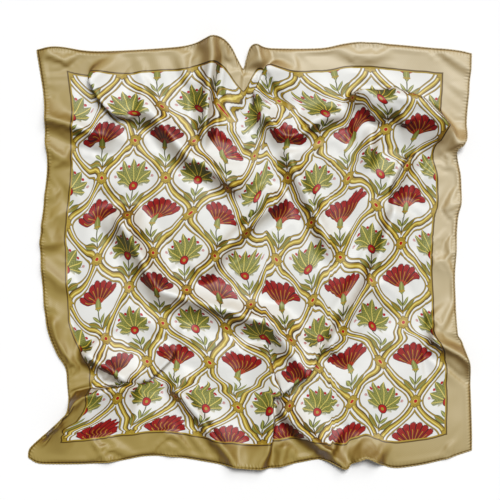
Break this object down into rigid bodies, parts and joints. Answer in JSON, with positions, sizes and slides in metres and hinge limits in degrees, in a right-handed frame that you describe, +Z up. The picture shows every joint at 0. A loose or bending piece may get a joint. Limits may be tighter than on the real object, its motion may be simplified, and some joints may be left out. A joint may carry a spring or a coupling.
{
  "type": "silk square scarf",
  "caption": "Square silk scarf with hand-rolled hems, lying flat and rumpled with soft folds.",
  "frame": {"origin": "on the surface it lies on, under the middle of the scarf's outline", "axes": "+X right, +Y towards the top edge, +Z up from the surface"},
  "size_m": [0.8577, 0.83, 0.045],
  "materials": {
    "silk_twill": "satin silk twill",
    "silk_hem": "satin silk twill, rolled"
  },
  "bodies": {
    "root": {"silk_panel": "silk_twill", "hem_top": "silk_hem", "hem_right": "silk_hem", "hem_bottom": "silk_hem", "hem_left": "silk_hem"}
  },
  "joints": []
}
